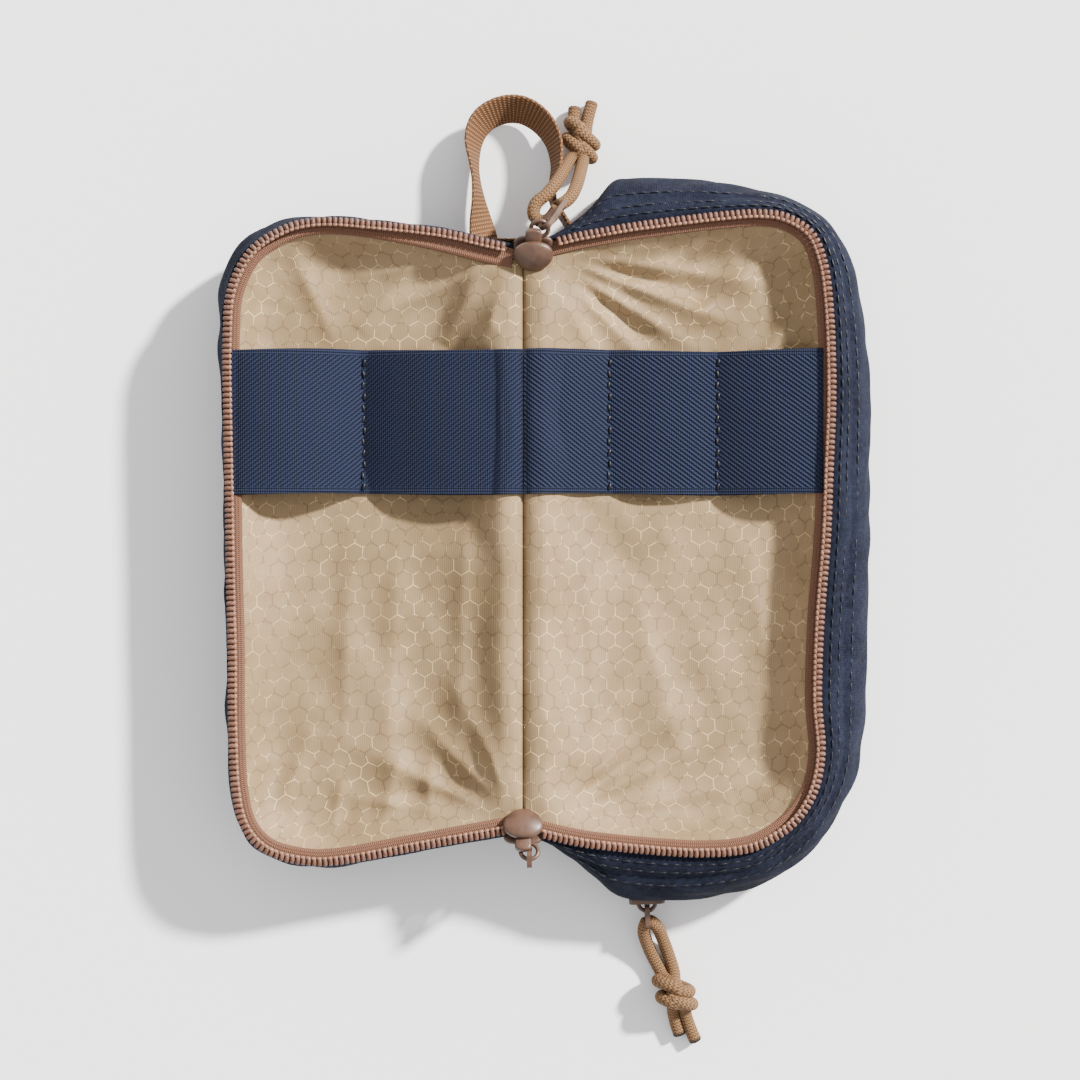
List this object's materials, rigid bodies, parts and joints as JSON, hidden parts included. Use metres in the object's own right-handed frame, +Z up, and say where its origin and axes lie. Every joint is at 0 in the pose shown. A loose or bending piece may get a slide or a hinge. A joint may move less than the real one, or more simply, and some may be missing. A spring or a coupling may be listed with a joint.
{
  "type": "travel document organizer",
  "caption": "Two-half zip-around fabric organizer, lying open: padded trays, elastic loops, rear zip compartment, carry loop and cord pulls.",
  "frame": {"origin": "on the outer panels' underside, at the spine, half way along it", "axes": "+Y along the spine towards the carry loop, +X to the pocket half, +Z up out of the open trays"},
  "size_m": [0.1799, 0.2674, 0.0294],
  "materials": {
    "shell_canvas": "plain-woven navy cloth, matt",
    "lining_ripstop": "tan honeycomb ripstop, satin",
    "foam": "closed-cell foam sheet",
    "stiffener_board": "thin plastic board",
    "zip_tape": "knitted zip tape",
    "zip_coil": "nylon coil, satin",
    "slider_enamel": "satin brown enamel",
    "braided_cord": "braided cord",
    "elastic_webbing": "diagonal-rib woven elastic",
    "carry_webbing": "ribbed woven webbing",
    "thread": "polyester thread"
  },
  "bodies": {
    "pocket_half": {"pocket_base_panel": "shell_canvas", "pocket_stiffener": "stiffener_board", "rear_pocket_outer_lining": "lining_ripstop", "rear_pocket_inner_lining": "lining_ripstop", "pocket_divider_board": "stiffener_board", "pocket_padding": "foam", "pocket_lining": "lining_ripstop", "pocket_gusset_lower": "shell_canvas", "pocket_gusset_upper": "shell_canvas", "rear_zip_tape_lower": "zip_tape", "rear_zip_coil": "zip_coil", "rear_zip_tape_upper": "zip_tape", "pocket_spine_panel": "shell_canvas", "pocket_zip_tape": "zip_tape", "pocket_zip_coil": "zip_coil", "pocket_zip_stops": "zip_coil", "pocket_elastic": "elastic_webbing", "pocket_elastic_stitches": "thread", "spine_fold": "lining_ripstop", "top_slider": "slider_enamel", "bottom_slider": "slider_enamel", "carry_loop": "carry_webbing", "carry_loop_anchor": "carry_webbing"},
    "cover_half": {"cover_base_panel": "shell_canvas", "cover_stiffener": "stiffener_board", "cover_padding": "foam", "cover_lining": "lining_ripstop", "cover_gusset": "shell_canvas", "cover_spine_panel": "shell_canvas", "cover_zip_tape": "zip_tape", "cover_zip_coil": "zip_coil", "cover_zip_stops": "zip_coil", "cover_elastic": "elastic_webbing", "cover_elastic_stitches": "thread"},
    "top_puller": {"top_pull_tab": "slider_enamel", "top_cord_strands": "braided_cord", "top_cord_knot": "braided_cord", "top_cord_tails": "braided_cord"},
    "bottom_puller": {"bottom_pull_tab": "slider_enamel"},
    "rear_runner": {"rear_slider": "slider_enamel"},
    "rear_puller": {"rear_pull_tab": "slider_enamel", "rear_cord_strands": "braided_cord", "rear_cord_knot": "braided_cord", "rear_cord_tails": "braided_cord"}
  },
  "joints": [
    {"name": "cover_fold", "type": "hinge", "parent": "pocket_half", "child": "cover_half", "pos_m": [0, 0, 0.026], "axis": [0, 1, 0], "range_deg": [0, 179.9]},
    {"name": "top_pull_lift", "type": "hinge", "parent": "pocket_half", "child": "top_puller", "pos_m": [0.00634, 0.08633, 0.0269], "axis": [0.6428, -0.6351, -0.4284], "range_deg": [0, 60]},
    {"name": "bottom_pull_swing", "type": "hinge", "parent": "pocket_half", "child": "bottom_puller", "pos_m": [0.0017, -0.08704, 0.02738], "axis": [-1, 0, 0], "range_deg": [-10, 80]},
    {"name": "rear_zip_slide", "type": "slide", "parent": "pocket_half", "child": "rear_runner", "axis": [0.999, 0.0441, 0], "range_m": [-0.002, 0.026]},
    {"name": "rear_pull_swing", "type": "hinge", "parent": "rear_runner", "child": "rear_puller", "pos_m": [0.03456, -0.10162, 0.0074], "axis": [0, 0, 1], "range_deg": [-35, 35]}
  ]
}
